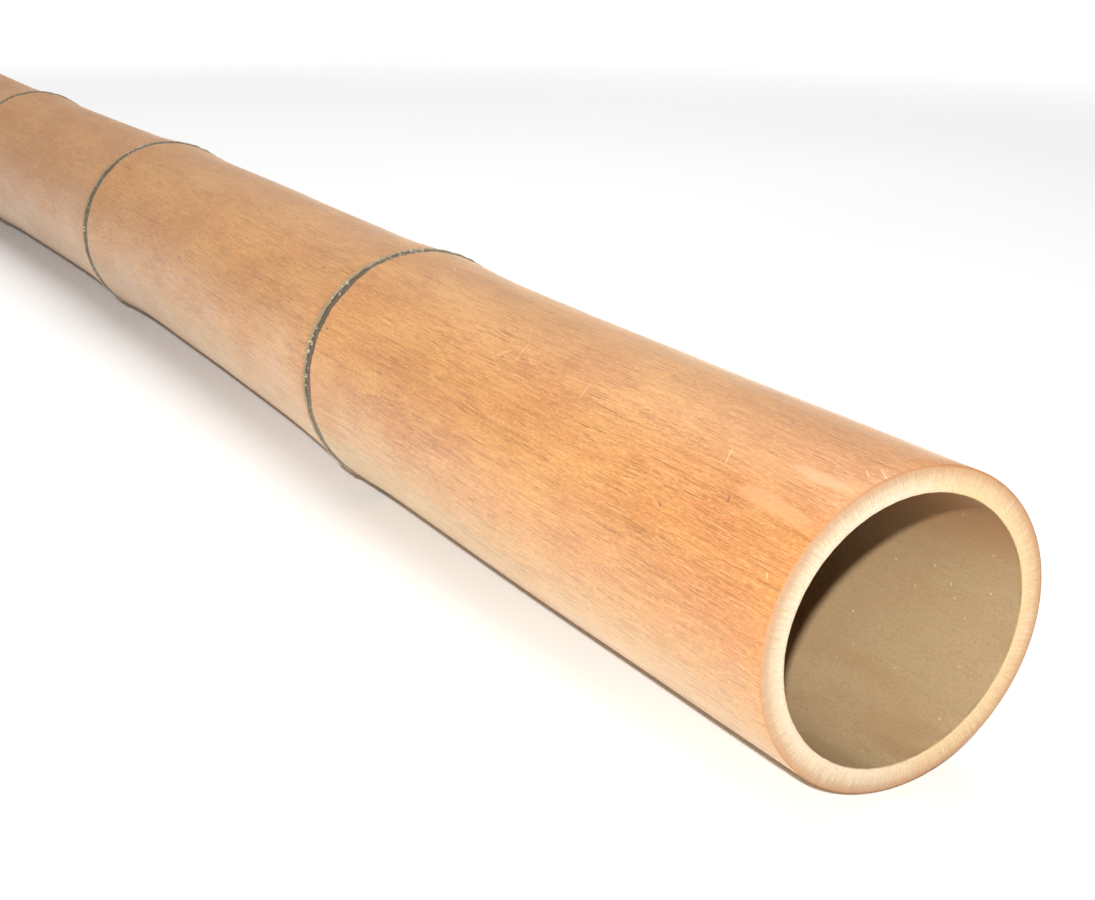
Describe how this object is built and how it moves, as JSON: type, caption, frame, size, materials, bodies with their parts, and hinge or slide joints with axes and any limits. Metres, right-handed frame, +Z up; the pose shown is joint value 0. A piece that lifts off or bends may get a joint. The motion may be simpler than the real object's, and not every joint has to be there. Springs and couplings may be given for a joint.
{
  "type": "bamboo cane",
  "caption": "Thick hollow bamboo culm lying on the ground, tapering over ringed nodes between two sawn open ends.",
  "frame": {"origin": "on the ground under the middle of the culm's length and width", "axes": "+X along the culm towards its thick butt end, +Y across it, +Z up; the culm lies on its side"},
  "size_m": [1.5042, 0.1062, 0.1037],
  "materials": {
    "culm": "satin, smooth honey-brown bamboo skin; sawn ends pale cream, bore khaki tan"
  },
  "bodies": {
    "root": {"culm": "culm"}
  },
  "joints": []
}
